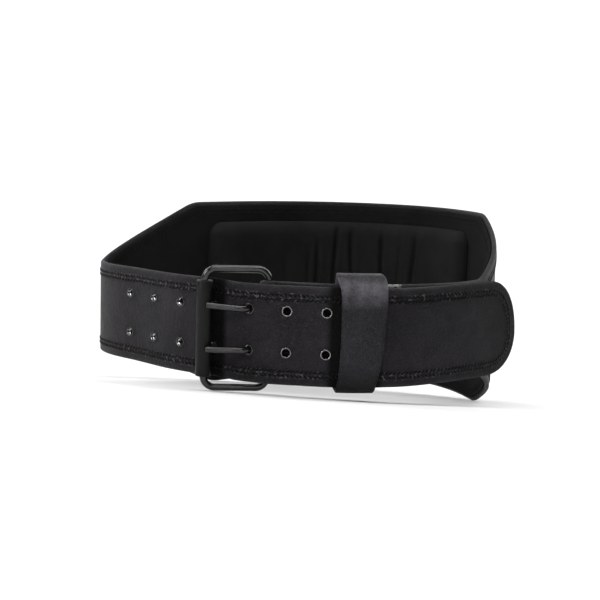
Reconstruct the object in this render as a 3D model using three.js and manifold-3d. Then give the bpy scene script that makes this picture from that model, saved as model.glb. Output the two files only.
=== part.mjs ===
// A black leather weightlifting belt, buckled into a loop and resting on its lower edge.
// The belt is modelled upright round a plan curve (x to the right, y to the back, z up,
// with the strap's middle line at z = 0), then leaned forward onto the three lowest places
// that carry its weight: both lower corners of the wide back and the buckle's lower bow.
import * as THREE from "three";
import { mergeVertices } from "three/addons/utils/BufferGeometryUtils.js";
import { ConvexHull } from "three/addons/math/ConvexHull.js";
import Module from "manifold-3d";

const wasm = await Module();
wasm.setup();

// Sizes in millimetres.
const loopWidth = 288;          // plan size of the closed loop, side to side
const loopDepth = 240;          // plan size, front strap to the middle of the back
const strapWidth = 69;          // narrow strap and both ends of the belt
const backWidth = 152.4;        // six inches across the wide back
const leatherThickness = 3.6;   // outer leather
const liningThickness = 1.8;    // inner layer
const layerGap = 0.3;           // clearance between pieces that touch on the real belt
const edgeRound = 1.4;          // rounding of the leather's long edges
const liningRound = 0.5;        // rounding of the lining's long edges
const liningInset = 2.6;        // the lining stops short of the leather's edge
const padInset = 17;            // the back pad stops short of the back's edge
const padThickness = 9;         // back pad above the lining
const padCrease = 2.6;          // depth of the pad's deepest creases
const creaseWidth = 3;          // half the width of a crease
const padRoll = 14;             // length over which the pad's ends round down
const padCorner = 12;           // rounding of the pad's corners
const padFloor = 2;             // the pad is never thinner than this
const tongueReach = 218;        // prong holes to the tip of the free end
const tipLength = 33;           // length of the rounded tip
const tipPower = 2.2;           // roundness of the tip: 2 is an ellipse, higher is squarer
const tipDrop = 7;              // the tip's end lies this far under the strap's middle
const tongueSag = 1.6;          // the tongue hangs this much lower between buckle and keeper
const tongueLift = 0.7;         // the tongue rides this far off the strap under it
const foldReach = 82;           // length of the leather folded back round the hinge bar
const foldThroat = 26;          // length over which the folded leather closes behind the bar
const foldInset = 1.2;          // the folded part is narrower than the strap by this, each side
const barGap = 0.4;             // hinge bar to the leather round it
const liningStart = 24;         // the lining starts this far from the hinge bar
const holePitch = 27.2;         // distance between hole pairs along the strap
const rowSpacing = 28.8;        // distance between the two rows of holes
const rowRise = 1.0;            // the rows sit this much above the strap's middle
const holeDiameter = 7.2;       // hole punched in the leather for an eyelet
const eyeletDiameter = 8.8;     // rim of an eyelet
const eyeletBore = 6.2;         // open middle of an eyelet
const eyeletDepth = 1.3;        // eyelet sunk into its hole
const eyeletWall = 0.25;
const eyeletProud = 0.45;       // eyelet's rim, thickness
const wireDiameter = 5;         // wire of the buckle frame
const frameHeight = 88;         // buckle frame over both bows
const frameCorner = 8;          // bend radius of the frame's corners
const rollerDiameter = 11.2;    // sleeve on the buckle's front bar
const rollerBore = 5.8;
const rollerLength = 67;
const rollerChamfer = 0.6;      // bevel on the roller's ends
const rollerLift = 1.2;         // roller to the tongue, clear of the eyelets
const prongDiameter = 4.6;
const prongShort = 2.2;         // prong tip short of the roller's middle
const prongBend = 3.2;          // the prong bends this far outside its hole
const eyeGap = 0.25;            // prong's eye to the hinge bar
const slotSide = 0.7;           // slot in the fold to the prong's eye, each side
const keeperWidth = 33;         // keeper loop along the strap
const keeperThickness = 2.6;
const keeperAbove = 7.2;        // keeper loop's top over the strap's upper edge
const keeperBelow = 5.2;        // keeper loop's bottom under the strap's lower edge
const keeperTopBend = 8.6;      // outside bend radius at the top, loose
const keeperBottomBend = 4.8;   // outside bend radius at the bottom, tight
const keeperClear = 1.9;        // last eyelet's rim to the keeper

// Plan stations of the leather's outer face, from the hinge bar round the loop to the
// buckle again: x as a share of loopWidth, y as a share of loopDepth.
const loopStations = [
  { place: "hinge", x: -0.0623, y: 0.0100 },
  { place: "chape", x: 0.0700, y: -0.0132 },
  { place: "chape end", x: 0.1947, y: -0.0008 },
  { place: "front right", x: 0.3183, y: 0.0500 },
  { place: "front right", x: 0.4130, y: 0.1230 },
  { place: "right flare", x: 0.4893, y: 0.2460 },
  { place: "right flare", x: 0.5290, y: 0.3976 },
  { place: "right side", x: 0.5233, y: 0.5568 },
  { place: "right side", x: 0.4857, y: 0.7100 },
  { place: "back right", x: 0.4150, y: 0.8448 },
  { place: "back", x: 0.3073, y: 0.9368 },
  { place: "back", x: 0.1783, y: 0.9752 },
  { place: "back", x: 0.0460, y: 0.9644 },
  { place: "back left", x: -0.0800, y: 0.9124 },
  { place: "back left", x: -0.1927, y: 0.8276 },
  { place: "left flare", x: -0.2930, y: 0.7224 },
  { place: "left flare", x: -0.3900, y: 0.6128 },
  { place: "left flare", x: -0.4840, y: 0.4940 },
  { place: "left corner", x: -0.5150, y: 0.4220 },
  { place: "left corner", x: -0.4960, y: 0.3430 },
  { place: "front left", x: -0.4007, y: 0.2280 },
  { place: "front left", x: -0.3037, y: 0.1188 },
  { place: "roller", x: -0.2017, y: 0.0472 },
  { place: "prong holes", x: -0.1035, y: -0.0015 },
];

// The tongue lies over the loop's own start and springs free of it at the tip:
// along the strap under it as a share of tongueReach, lift off it in the same share.
const tongueStations = [
  { along: 0.000, free: 0.0000 },
  { along: 0.095, free: 0.0000 },
  { along: 0.200, free: 0.0000 },
  { along: 0.320, free: 0.0000 },
  { along: 0.450, free: 0.0000 },
  { along: 0.570, free: 0.0005 },
  { along: 0.690, free: 0.0080 },
  { along: 0.800, free: 0.0290 },
  { along: 0.890, free: 0.0600 },
  { along: 0.960, free: 0.1000 },
];

// Where the tongue's sag starts, is full, ends being full and is gone: along the tongue.
const sags = { start: -28, full: -6, hold: 102, end: 165 };   // millimetres past the prong holes

// The strap widens to the back and narrows again: shares of the way from hinge to prongs.
// On the left the lower edge narrows sooner than the upper one.
const flares = { rightStart: 0.210, rightEnd: 0.321, leftStart: 0.690, leftEnd: 0.803, lowerLead: 0.028 };

// The pad and its upright creases: shares of that way, and of the pad's length and crease.
const padSpan = { start: 0.344, end: 0.673 };
const padCreases = [
  { along: 0.255, deep: 1.00 },
  { along: 0.314, deep: 0.45 },
  { along: 0.380, deep: 1.00 },
  { along: 0.474, deep: 0.80 },
  { along: 0.544, deep: 0.85 },
  { along: 0.606, deep: 0.70 },
  { along: 0.720, deep: 0.30 },
];

const holeColumns = [-4, -3, -2, -1, 0, 1, 2];   // pairs before and after the prongs

const black = { color: 0x1d1d1f, roughness: 0.5, metalness: 0 };
const suede = { color: 0x1a1817, roughness: 0.95, metalness: 0 };
const padCloth = { color: 0x1c1a19, roughness: 0.92, metalness: 0 };
const keeperLeather = { color: 0x26272a, roughness: 0.42, metalness: 0 };
const lacquer = { color: 0x101012, roughness: 0.22, metalness: 0.6 };
const eyeletMetal = { color: 0x3a3a3c, roughness: 0.25, metalness: 0.9 };

// Plan curve.

// Second derivatives of the natural cubic spline through values at the given knots.
function splineBends(knots, values) {
  const n = knots.length;
  const bends = new Array(n).fill(0);
  const upper = new Array(n).fill(0);
  for (let i = 1; i < n - 1; i++) {
    const span = knots[i + 1] - knots[i - 1];
    const share = (knots[i] - knots[i - 1]) / span;
    const pivot = share * bends[i - 1] + 2;
    const after = (values[i + 1] - values[i]) / (knots[i + 1] - knots[i]);
    const before = (values[i] - values[i - 1]) / (knots[i] - knots[i - 1]);
    bends[i] = (share - 1) / pivot;
    upper[i] = ((6 * (after - before)) / span - share * upper[i - 1]) / pivot;
  }
  bends[n - 1] = 0;
  for (let i = n - 2; i >= 0; i--) bends[i] = bends[i] * bends[i + 1] + upper[i];
  return bends;
}

// A smooth plan curve through the points, sampled evenly enough to be measured along.
class PlanCurve {
  constructor(points, stepsEach = 14) {
    const knots = [0];
    for (let i = 1; i < points.length; i++) knots.push(knots[i - 1] + points[i].distanceTo(points[i - 1]));
    const bendX = splineBends(knots, points.map((p) => p.x));
    const bendY = splineBends(knots, points.map((p) => p.y));
    this.samples = [];
    this.knotAt = [];
    for (let i = 0; i < points.length - 1; i++) {
      const h = knots[i + 1] - knots[i];
      this.knotAt.push(this.samples.length);
      for (let j = 0; j < stepsEach; j++) {
        const b = j / stepsEach;
        const a = 1 - b;
        const ca = ((a * a * a - a) * h * h) / 6;
        const cb = ((b * b * b - b) * h * h) / 6;
        this.samples.push(new THREE.Vector2(
          a * points[i].x + b * points[i + 1].x + ca * bendX[i] + cb * bendX[i + 1],
          a * points[i].y + b * points[i + 1].y + ca * bendY[i] + cb * bendY[i + 1],
        ));
      }
    }
    this.knotAt.push(this.samples.length);
    this.samples.push(points[points.length - 1].clone());
    this.lengths = [0];
    for (let i = 1; i < this.samples.length; i++) {
      this.lengths.push(this.lengths[i - 1] + this.samples[i].distanceTo(this.samples[i - 1]));
    }
    this.length = this.lengths[this.lengths.length - 1];
  }

  // Length along the curve at control point number i.
  lengthAt(i) {
    return this.lengths[this.knotAt[i]];
  }

  point(s) {
    const last = this.samples.length - 2;
    let i = 0;
    while (i < last && this.lengths[i + 1] < s) i++;
    const t = (s - this.lengths[i]) / (this.lengths[i + 1] - this.lengths[i]);
    return this.samples[i].clone().lerp(this.samples[i + 1], t);
  }

  tangent(s) {
    return this.point(s + 1.5).sub(this.point(s - 1.5)).normalize();
  }

  // The side that faces the middle of the loop.
  inward(s) {
    const t = this.tangent(s);
    return new THREE.Vector2(-t.y, t.x);
  }

  at(s, depth) {
    return this.point(s).addScaledVector(this.inward(s), depth);
  }
}

const stack = leatherThickness + layerGap + liningThickness;
const foldRadius = wireDiameter / 2 + barGap + leatherThickness;

const loopPoints = loopStations.map((row) => new THREE.Vector2(row.x * loopWidth, row.y * loopDepth));
const loopCurve = new PlanCurve(loopPoints);
const tonguePoints = tongueStations.map((row) => loopCurve.at(
  row.along * tongueReach,
  -(stack + tongueLift + (row.along === 0 ? barGap : 0) + row.free * tongueReach),
));
const belt = new PlanCurve([...loopPoints, ...tonguePoints]);

const prongLength = belt.lengthAt(loopStations.length - 1);   // hinge to prong holes
const rollerAt = belt.lengthAt(loopStations.length - 2);
const tipAt = prongLength + tongueReach;
const hinge = belt.at(0, foldRadius);
const roller = belt.at(rollerAt, -(rollerDiameter / 2 + rollerLift));

// Half the strap's width at a length along it: a ramp with its corners eased.
function halfWidth(s, lead = 0) {
  const { rightStart, rightEnd, leftStart, leftEnd } = flares;
  const eased = [-6, -4, -2, 0, 2, 4, 6];   // millimetres either side that are averaged
  let sum = 0;
  for (const step of eased) {
    const share = (s + step) / prongLength;
    const rise = THREE.MathUtils.clamp((share - rightStart) / (rightEnd - rightStart), 0, 1);
    const fall = THREE.MathUtils.clamp((leftEnd - lead - share) / (leftEnd - leftStart), 0, 1);
    sum += Math.min(rise, fall);
  }
  return (strapWidth + (backWidth - strapWidth) * (sum / eased.length)) / 2;
}

// A section's lower half, drawn in where the lower edge narrows sooner.
function drawnIn(ring, s) {
  const share = halfWidth(s, flares.lowerLead) / halfWidth(s);
  for (const p of ring) if (p.z < 0) p.z *= share;
  return ring;
}

// The tip is a full round: |a|^tipPower + |b|^tipPower = 1.
function tipShare(s, end, length) {
  const a = THREE.MathUtils.clamp(1 - (end - s) / length, 0, 1);
  return Math.pow(1 - Math.pow(a, tipPower), 1 / tipPower);
}

// A section of the tongue hangs lower between buckle and keeper, and one of the tip sinks
// to tipDrop as its share of the full width goes to nothing.
function lowered(ring, s, share) {
  const along = s - prongLength;
  const sag = THREE.MathUtils.smoothstep(along, sags.start, sags.full)
    * (1 - THREE.MathUtils.smoothstep(along, sags.hold, sags.end));
  for (const p of ring) p.z -= tipDrop * (1 - share) + tongueSag * sag;
  return drawnIn(ring, s);
}

// Lengths along the belt where sections are taken: close together where it bends or widens.
function sectionLengths(from, to, tip) {
  const list = [];
  const tipStart = tip ? to - tipLength : to;
  for (let s = from; s < tipStart - 1; ) {
    list.push(s);
    const turn = belt.tangent(s + 4).angleTo(belt.tangent(s - 4)) / 8;
    s += THREE.MathUtils.clamp(0.085 / Math.max(turn, 1e-4), 5, 13);
  }
  list.push(tipStart);
  if (tip) for (const a of [0.3, 0.52, 0.7, 0.84, 0.93, 0.98]) list.push(tipStart + a * tipLength);
  return list;
}

// Solids.

// A closed body through rings of points, each ring the same number of points.
function loft(rings, closed = false) {
  const n = rings[0].length;
  const positions = rings.flat().flatMap((p) => [p.x, p.y, p.z]);
  const index = [];
  const spans = closed ? rings.length : rings.length - 1;
  for (let i = 0; i < spans; i++) {
    const a = i * n;
    const b = ((i + 1) % rings.length) * n;
    for (let j = 0; j < n; j++) {
      const k = (j + 1) % n;
      index.push(a + j, b + j, b + k, a + j, b + k, a + k);
    }
  }
  if (!closed) {
    const last = (rings.length - 1) * n;
    for (let j = 1; j < n - 1; j++) {
      index.push(0, j, j + 1);
      index.push(last, last + j + 1, last + j);
    }
  }
  const geometry = new THREE.BufferGeometry();
  geometry.setAttribute("position", new THREE.Float32BufferAttribute(positions, 3));
  geometry.setIndex(index);
  return geometry;
}

// Cross-section of a strap between an outer and an inner plan point.
function strapRing(outer, inner, half, round) {
  const t = outer.distanceTo(inner);
  const r = Math.min(round, t * 0.45, half * 0.6);
  const ring = [
    [0, -half + r], [0, half - r], [r / t, half], [1 - r / t, half],
    [1, half - r], [1, -half + r], [1 - r / t, -half], [r / t, -half],
  ];
  return ring.map(([share, z]) => {
    const p = outer.clone().lerp(inner, share);
    return new THREE.Vector3(p.x, p.y, z);
  });
}

function toSolid(geometry, matrix) {
  const g = geometry.index ? geometry.toNonIndexed() : geometry.clone();
  g.deleteAttribute("normal");
  g.deleteAttribute("uv");
  if (matrix) g.applyMatrix4(matrix);
  const merged = mergeVertices(g, 1e-4);
  return new wasm.Manifold(new wasm.Mesh({
    numProp: 3,
    vertProperties: new Float32Array(merged.attributes.position.array),
    triVerts: new Uint32Array(merged.index.array),
  }));
}

function toGeometry(solid) {
  const mesh = solid.getMesh();
  const geometry = new THREE.BufferGeometry();
  const positions = new Float32Array(mesh.numVert * 3);
  for (let i = 0; i < mesh.numVert; i++) {
    for (let k = 0; k < 3; k++) positions[i * 3 + k] = mesh.vertProperties[i * mesh.numProp + k];
  }
  geometry.setAttribute("position", new THREE.BufferAttribute(positions, 3));
  geometry.setIndex(new THREE.BufferAttribute(new Uint32Array(mesh.triVerts), 1));
  return geometry;
}

const beltGroup = new THREE.Group();

function addPiece(name, geometry, look) {
  geometry.computeVertexNormals();
  const mesh = new THREE.Mesh(geometry, new THREE.MeshStandardMaterial(look));
  mesh.name = name;
  beltGroup.add(mesh);
  return mesh;
}

// Round wire along a path of points.
function wire(points, diameter, sides, steps) {
  const shape = new THREE.Shape();
  shape.absarc(0, 0, diameter / 2, 0, Math.PI * 2);
  return new THREE.ExtrudeGeometry(shape, {
    extrudePath: new THREE.CatmullRomCurve3(points, false, "centripetal"),
    steps,
    curveSegments: sides,
    bevelEnabled: false,
  });
}

// Matrix that sets a lathe or cylinder, made along y, on the strap's outer face.
function onStrap(s, z, lift = 0) {
  const p = belt.at(s, -lift);
  const out = belt.inward(s).negate();
  const turn = new THREE.Quaternion().setFromUnitVectors(
    new THREE.Vector3(0, 1, 0),
    new THREE.Vector3(out.x, out.y, 0),
  );
  return new THREE.Matrix4().compose(new THREE.Vector3(p.x, p.y, z), turn, new THREE.Vector3(1, 1, 1));
}

// Prongs: an eye round the hinge bar, up through the hole, over to the roller.

const eyeStart = -1.95;   // angle on the hinge bar, in radians, at which the eye starts
const eyeShares = [0, 0.22, 0.45, 0.67, 0.89, 1.11, 1.28, 1.42].map((turn) => turn / 1.42);

function prongPoints(z) {
  const eye = wireDiameter / 2 + eyeGap + prongDiameter / 2;
  const hole = belt.at(prongLength, 0);
  const toHinge = hinge.clone().sub(hole);
  const lean = Math.asin(Math.min(0.9, eye / toHinge.length()));
  const direction = Math.atan2(toHinge.y, toHinge.x) + lean;
  const run = new THREE.Vector2(Math.cos(direction), Math.sin(direction));
  const rest = rollerDiameter / 2 + layerGap + prongDiameter / 2;
  const bend = hole.clone().addScaledVector(run, -prongBend);
  const onRoller = new THREE.Vector2(roller.x, roller.y - rest);
  const along = onRoller.clone().sub(bend).normalize();
  const points = [];
  const touch = direction + Math.PI / 2;
  for (const share of eyeShares) {
    const angle = THREE.MathUtils.lerp(eyeStart, touch, share);
    points.push(new THREE.Vector2(hinge.x + eye * Math.cos(angle), hinge.y + eye * Math.sin(angle)));
  }
  const touchPoint = points[points.length - 1];
  points.push(touchPoint.clone().lerp(hole, 0.5));
  points.push(hole.clone());
  points.push(bend.clone().addScaledVector(along, prongBend / 2));
  points.push(bend.clone().addScaledVector(along, prongBend * 1.7));
  points.push(bend.clone().lerp(onRoller, 0.55));
  points.push(onRoller.clone().addScaledVector(along, -prongShort));
  return points.map((p) => new THREE.Vector3(p.x, p.y, z));
}

// The slot clears the eye and stops short of the tongue over it.
const slotShare = 0.18;   // share of the room between eye and tongue that the slot takes
const slotRadius = wireDiameter / 2 + eyeGap + prongDiameter + (tongueLift + barGap) * slotShare;
const rowHeights = { upper: rowRise + rowSpacing / 2, lower: rowRise - rowSpacing / 2 };

// Outer leather: folded end, loop, tongue.

const leatherRings = [];
const foldSteps = 9;
for (let i = 0; i < foldSteps; i++) {
  const s = foldReach * (1 - i / foldSteps);
  const ease = THREE.MathUtils.smoothstep(s, 0, Math.min(foldThroat, foldReach * 0.6));
  const near = stack + layerGap;
  const depth = THREE.MathUtils.lerp(2 * foldRadius - leatherThickness, near, ease);
  leatherRings.push(strapRing(
    belt.at(s, depth + leatherThickness), belt.at(s, depth), strapWidth / 2 - foldInset, edgeRound,
  ));
}
const behind = belt.inward(0).angle();
for (let i = 0; i <= 8; i++) {
  const a = behind + (Math.PI * i) / 8;
  const out = new THREE.Vector2(Math.cos(a), Math.sin(a));
  leatherRings.push(strapRing(
    hinge.clone().addScaledVector(out, foldRadius),
    hinge.clone().addScaledVector(out, foldRadius - leatherThickness),
    strapWidth / 2 - foldInset * (1 - i / 8),
    edgeRound,
  ));
}
for (const s of sectionLengths(foldRadius, tipAt, true)) {
  const share = tipShare(s, tipAt, tipLength);
  leatherRings.push(lowered(
    strapRing(belt.at(s, 0), belt.at(s, leatherThickness), halfWidth(s) * share, edgeRound), s, share,
  ));
}
let leather = toSolid(loft(leatherRings));

// Lining: inner layer from the fold to the tip.

const liningRings = sectionLengths(liningStart, tipAt - liningInset, true).map((s) => {
  const share = tipShare(s, tipAt - liningInset, tipLength - liningInset);
  const half = (halfWidth(s) - liningInset) * share;
  const outer = belt.at(s, leatherThickness + layerGap);
  return lowered(strapRing(outer, belt.at(s, stack), half, liningRound), s, share);
});
let lining = toSolid(loft(liningRings));

const punch = new THREE.CylinderGeometry(holeDiameter / 2, holeDiameter / 2, stack * 2.4, 14);
for (const column of holeColumns) {
  for (const z of Object.values(rowHeights)) {
    const cutter = toSolid(punch, onStrap(prongLength + column * holePitch, z, -stack / 2));
    leather = leather.subtract(cutter);
    lining = lining.subtract(cutter);
  }
}
for (const z of Object.values(rowHeights)) {
  const room = toSolid(wire(prongPoints(z), prongDiameter + slotSide, 5, 44));
  const slot = new THREE.CylinderGeometry(slotRadius, slotRadius, prongDiameter + 2 * slotSide, 24);
  const turn = new THREE.Matrix4().makeRotationX(Math.PI / 2).setPosition(hinge.x, hinge.y, z);
  leather = leather.subtract(room).subtract(toSolid(slot, turn));
  lining = lining.subtract(room);
}
addPiece("belt_leather", toGeometry(leather), black);
addPiece("inner_lining", toGeometry(lining), suede);

// Back pad with upright creases.

const padStart = padSpan.start * prongLength;
const padLength = (padSpan.end - padSpan.start) * prongLength;
const padAlong = new Set([0, 0.012, 0.03, 0.06]);
for (let i = 2; i <= 14; i++) padAlong.add(i / 16);
for (const row of padCreases) {
  for (const k of [-2.1, -1, 0, 1, 2.1]) padAlong.add(row.along + (k * creaseWidth) / padLength);
}
for (const share of [0.94, 0.97, 0.988, 1]) padAlong.add(share);

function padHeight(share) {
  const end = Math.min(share, 1 - share) * padLength;
  const swell = 0.3 + 0.7 * Math.sqrt(1 - Math.pow(1 - Math.min(end / padRoll, 1), 2));
  let height = padThickness * swell;
  for (const row of padCreases) {
    const d = ((share - row.along) * padLength) / creaseWidth;
    height -= padCrease * row.deep * Math.exp(-d * d);
  }
  return Math.max(height, padFloor);
}

const padSection = [
  { high: 0.00, inset: 0.0 }, { high: 0.55, inset: 0.0 }, { high: 0.88, inset: 0.35 },
  { high: 1.00, inset: 1.1 },
];
const padRings = [...padAlong].sort((a, b) => a - b).map((share) => {
  const s = padStart + share * padLength;
  const height = padHeight(share);
  const corner = Math.min(share, 1 - share) * padLength;
  const half = halfWidth(s) - padInset - padCorner * Math.pow(1 - Math.min(corner / padCorner, 1), 2);
  const base = stack + layerGap;
  const up = padSection.map((row) => [base + row.high * height, half - row.inset * padThickness]);
  const down = [...up].reverse().map(([d, z]) => [d, -z]);
  const ring = [...down, ...up].map(([d, z]) => {
    const p = belt.at(s, d);
    return new THREE.Vector3(p.x, p.y, z);
  });
  return drawnIn(ring, s);
});
const padBody = loft(padRings);
addPiece("back_pad", padBody, padCloth);

// Buckle: wire frame with a roller on its front bar.

const bowReach = frameHeight / 2 - wireDiameter / 2;
const frameRun = roller.clone().sub(hinge).normalize();
const frameRings = [];
const frameSpan = roller.distanceTo(hinge);
for (let side = 0; side < 4; side++) {
  const atRoller = side > 1;
  const top = side === 1 || side === 2;
  const cx = atRoller ? frameSpan - frameCorner : frameCorner;
  const cz = (bowReach - frameCorner) * (top ? 1 : -1);
  const startAngle = [1.5, 1, 0.5, 0][side] * Math.PI;
  for (let k = 0; k <= 5; k++) {
    const a = startAngle - (k / 5) * (Math.PI / 2);
    const centre = [cx + frameCorner * Math.cos(a), cz + frameCorner * Math.sin(a)];
    const ring = [];
    for (let j = 0; j < 10; j++) {
      const b = (j / 10) * Math.PI * 2;
      const out = (wireDiameter / 2) * Math.cos(b);
      const rise = (wireDiameter / 2) * Math.sin(b);
      const u = centre[0] + out * Math.cos(a);
      const z = centre[1] + out * Math.sin(a);
      ring.push(new THREE.Vector3(
        hinge.x + frameRun.x * u - frameRun.y * rise,
        hinge.y + frameRun.y * u + frameRun.x * rise,
        z,
      ));
    }
    frameRings.push(ring);
  }
}
addPiece("buckle_frame", loft(frameRings, true), lacquer);

const rollerProfile = [
  [rollerBore / 2, -rollerLength / 2], [rollerDiameter / 2 - rollerChamfer, -rollerLength / 2],
  [rollerDiameter / 2, -rollerLength / 2 + rollerChamfer],
  [rollerDiameter / 2, rollerLength / 2 - rollerChamfer],
  [rollerDiameter / 2 - rollerChamfer, rollerLength / 2], [rollerBore / 2, rollerLength / 2],
  [rollerBore / 2, -rollerLength / 2],
].map(([r, y]) => new THREE.Vector2(r, y));
const sleeve = addPiece("roller", new THREE.LatheGeometry(rollerProfile, 22), lacquer);
sleeve.rotation.x = Math.PI / 2;
sleeve.position.set(roller.x, roller.y, 0);

for (const [name, z] of Object.entries(rowHeights)) {
  addPiece("prong_" + name, wire(prongPoints(z), prongDiameter, 5, 40), lacquer);
}

// Eyelets.

const rim = eyeletDiameter / 2;
const bore = eyeletBore / 2;
const eyeletProfile = [
  [bore, -eyeletDepth], [bore + eyeletWall, -eyeletDepth], [bore + eyeletWall, layerGap],
  [rim, layerGap], [rim - eyeletWall, layerGap + eyeletProud],
  [bore + eyeletWall, layerGap + eyeletProud], [bore, -eyeletDepth],
].map(([r, y]) => new THREE.Vector2(r, y));
holeColumns.forEach((column, i) => {
  for (const [row, z] of Object.entries(rowHeights)) {
    const name = "eyelet_" + row + "_" + (i + 1);
    const ring = addPiece(name, new THREE.LatheGeometry(eyeletProfile, 10), eyeletMetal);
    ring.applyMatrix4(onStrap(prongLength + column * holePitch, z));
  }
});

// Keeper loop round the tongue and the folded end.

const keeperPlace = holeColumns[holeColumns.length - 1] * holePitch
  + eyeletDiameter / 2 + keeperClear + keeperWidth / 2;
const keeperMiddle = nearestOnLoop(belt.point(prongLength + keeperPlace));
const keeperOuter = -(stack + tongueLift + 2 * layerGap + keeperThickness);
const keeperInner = stack + leatherThickness + 3 * layerGap + keeperThickness;

// Length along the loop's own start that lies under a point of the tongue.
function nearestOnLoop(target) {
  let best = 0;
  for (let s = 0; s < tongueReach; s += 0.5) {
    if (belt.point(s).distanceTo(target) < belt.point(best).distanceTo(target)) best = s;
  }
  return best;
}

const keeperRings = [];
const keeperCorners = [
  { depth: keeperOuter, z: -strapWidth / 2 - keeperBelow, bend: keeperBottomBend },
  { depth: keeperOuter, z: strapWidth / 2 + keeperAbove, bend: keeperTopBend },
  { depth: keeperInner, z: strapWidth / 2 + keeperAbove, bend: keeperTopBend },
  { depth: keeperInner, z: -strapWidth / 2 - keeperBelow, bend: keeperBottomBend },
];
keeperCorners.forEach((row, corner) => {
  const centreDepth = row.depth + row.bend * (row.depth < 0 ? 1 : -1);
  const centreZ = row.z + row.bend * (row.z < 0 ? 1 : -1);
  for (let k = 0; k <= 5; k++) {
    const a = Math.PI * 1.5 - (Math.PI / 2) * (corner + k / 5);
    const across = [-1, -0.5, 0, 0.5, 1];
    const outside = across.map((w) => [w, row.bend]);
    const inside = across.map((w) => [-w, row.bend - keeperThickness]);
    keeperRings.push([...outside, ...inside].map(([w, r]) => {
      const p = belt.at(keeperMiddle + (w * keeperWidth) / 2, centreDepth + r * Math.cos(a));
      return new THREE.Vector3(p.x, p.y, centreZ + r * Math.sin(a));
    }).reverse());
  }
});
addPiece("keeper_loop", loft(keeperRings, true), keeperLeather);

// Resting pose.

// Volume and its moment of a mesh, from signed tetrahedra.
function massOf(mesh) {
  mesh.updateMatrixWorld(true);
  const g = mesh.geometry.index ? mesh.geometry.toNonIndexed() : mesh.geometry;
  const p = g.getAttribute("position");
  const [a, b, c] = [new THREE.Vector3(), new THREE.Vector3(), new THREE.Vector3()];
  const moment = new THREE.Vector3();
  let volume = 0;
  for (let i = 0; i < p.count; i += 3) {
    a.fromBufferAttribute(p, i).applyMatrix4(mesh.matrixWorld);
    b.fromBufferAttribute(p, i + 1).applyMatrix4(mesh.matrixWorld);
    c.fromBufferAttribute(p, i + 2).applyMatrix4(mesh.matrixWorld);
    const v = a.dot(b.clone().cross(c)) / 6;
    volume += v;
    moment.addScaledVector(a.clone().add(b).add(c), v / 4);
  }
  return { volume, moment };
}

// Floor plane: the face of the hull under the centre of mass that needs the least lean.
function restTurn(group) {
  const points = [];
  const centre = new THREE.Vector3();
  let total = 0;
  group.updateMatrixWorld(true);
  group.traverse((mesh) => {
    if (!mesh.isMesh) return;
    const { volume, moment } = massOf(mesh);
    centre.add(moment);
    total += volume;
    const p = mesh.geometry.getAttribute("position");
    for (let i = 0; i < p.count; i++) {
      points.push(new THREE.Vector3().fromBufferAttribute(p, i).applyMatrix4(mesh.matrixWorld));
    }
  });
  centre.divideScalar(total);
  const hull = new ConvexHull().setFromPoints(points);
  let best = null;
  for (const face of hull.faces) {
    if (face.normal.z > -0.7) continue;
    const foot = centre.clone().addScaledVector(face.normal, face.constant - face.normal.dot(centre));
    let inside = true;
    let edge = face.edge;
    do {
      const from = edge.tail().point;
      const along = edge.head().point.clone().sub(from);
      const side = along.cross(foot.clone().sub(from)).dot(face.normal);
      if (side < 0) inside = false;
      edge = edge.next;
    } while (edge !== face.edge);
    if (inside && (!best || face.normal.z < best.normal.z)) best = face;
  }
  const down = best ? best.normal.clone() : new THREE.Vector3(0, 0, -1);
  return new THREE.Quaternion().setFromUnitVectors(down, new THREE.Vector3(0, 0, -1));
}

beltGroup.quaternion.copy(restTurn(beltGroup));
const box = new THREE.Box3().setFromObject(beltGroup, true);
beltGroup.position.set(
  -(box.min.x + box.max.x) / 2,
  -(box.min.y + box.max.y) / 2,
  -box.min.z,
);

const liftingBelt = new THREE.Group();
liftingBelt.name = "lifting_belt";
liftingBelt.add(beltGroup);

export default liftingBelt;
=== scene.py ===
import math

import bmesh
import bpy
import numpy as np
from mathutils import Matrix, Vector


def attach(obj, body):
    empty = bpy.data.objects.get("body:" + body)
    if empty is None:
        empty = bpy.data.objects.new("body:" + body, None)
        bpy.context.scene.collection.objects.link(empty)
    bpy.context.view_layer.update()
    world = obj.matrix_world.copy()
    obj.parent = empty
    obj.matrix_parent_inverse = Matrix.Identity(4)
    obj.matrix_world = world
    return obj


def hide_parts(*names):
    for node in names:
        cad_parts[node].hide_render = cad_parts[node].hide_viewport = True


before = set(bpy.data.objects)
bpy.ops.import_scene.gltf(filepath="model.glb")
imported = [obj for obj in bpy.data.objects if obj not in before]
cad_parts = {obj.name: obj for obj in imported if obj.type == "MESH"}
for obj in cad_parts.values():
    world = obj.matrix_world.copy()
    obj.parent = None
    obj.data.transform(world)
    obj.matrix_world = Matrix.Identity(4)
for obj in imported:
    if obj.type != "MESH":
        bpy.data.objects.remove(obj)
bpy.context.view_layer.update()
print("frame loaded")

# all shapes below are worked out upright in millimetres and leaned onto the floor by toRow
rest = {"down": (-0.03561, -0.17636, -0.98368), "move": (-6.8421, -112.5469, 44.1445)}
restTurn = np.array(Vector(rest["down"]).rotation_difference(Vector((0, 0, -1))).to_matrix())


def toRow(points):
    # rest turn, then the shift, then millimetres to metres
    return (np.asarray(points, float) @ restTurn.T + np.array(rest["move"])) / 1000


# camera: the photograph's angle to the belt, which leans with it
# (focus in pixels of the square picture, angles in degrees, the rest in millimetres)
camera = {"azimuth": 0.21, "elevation": 8.18, "roll": -1.77, "distance": 816.6,
          "focus": 1194.4, "picture": 600, "sensor": 36, "aimX": 4.9, "aimZ": 22.4}


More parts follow.
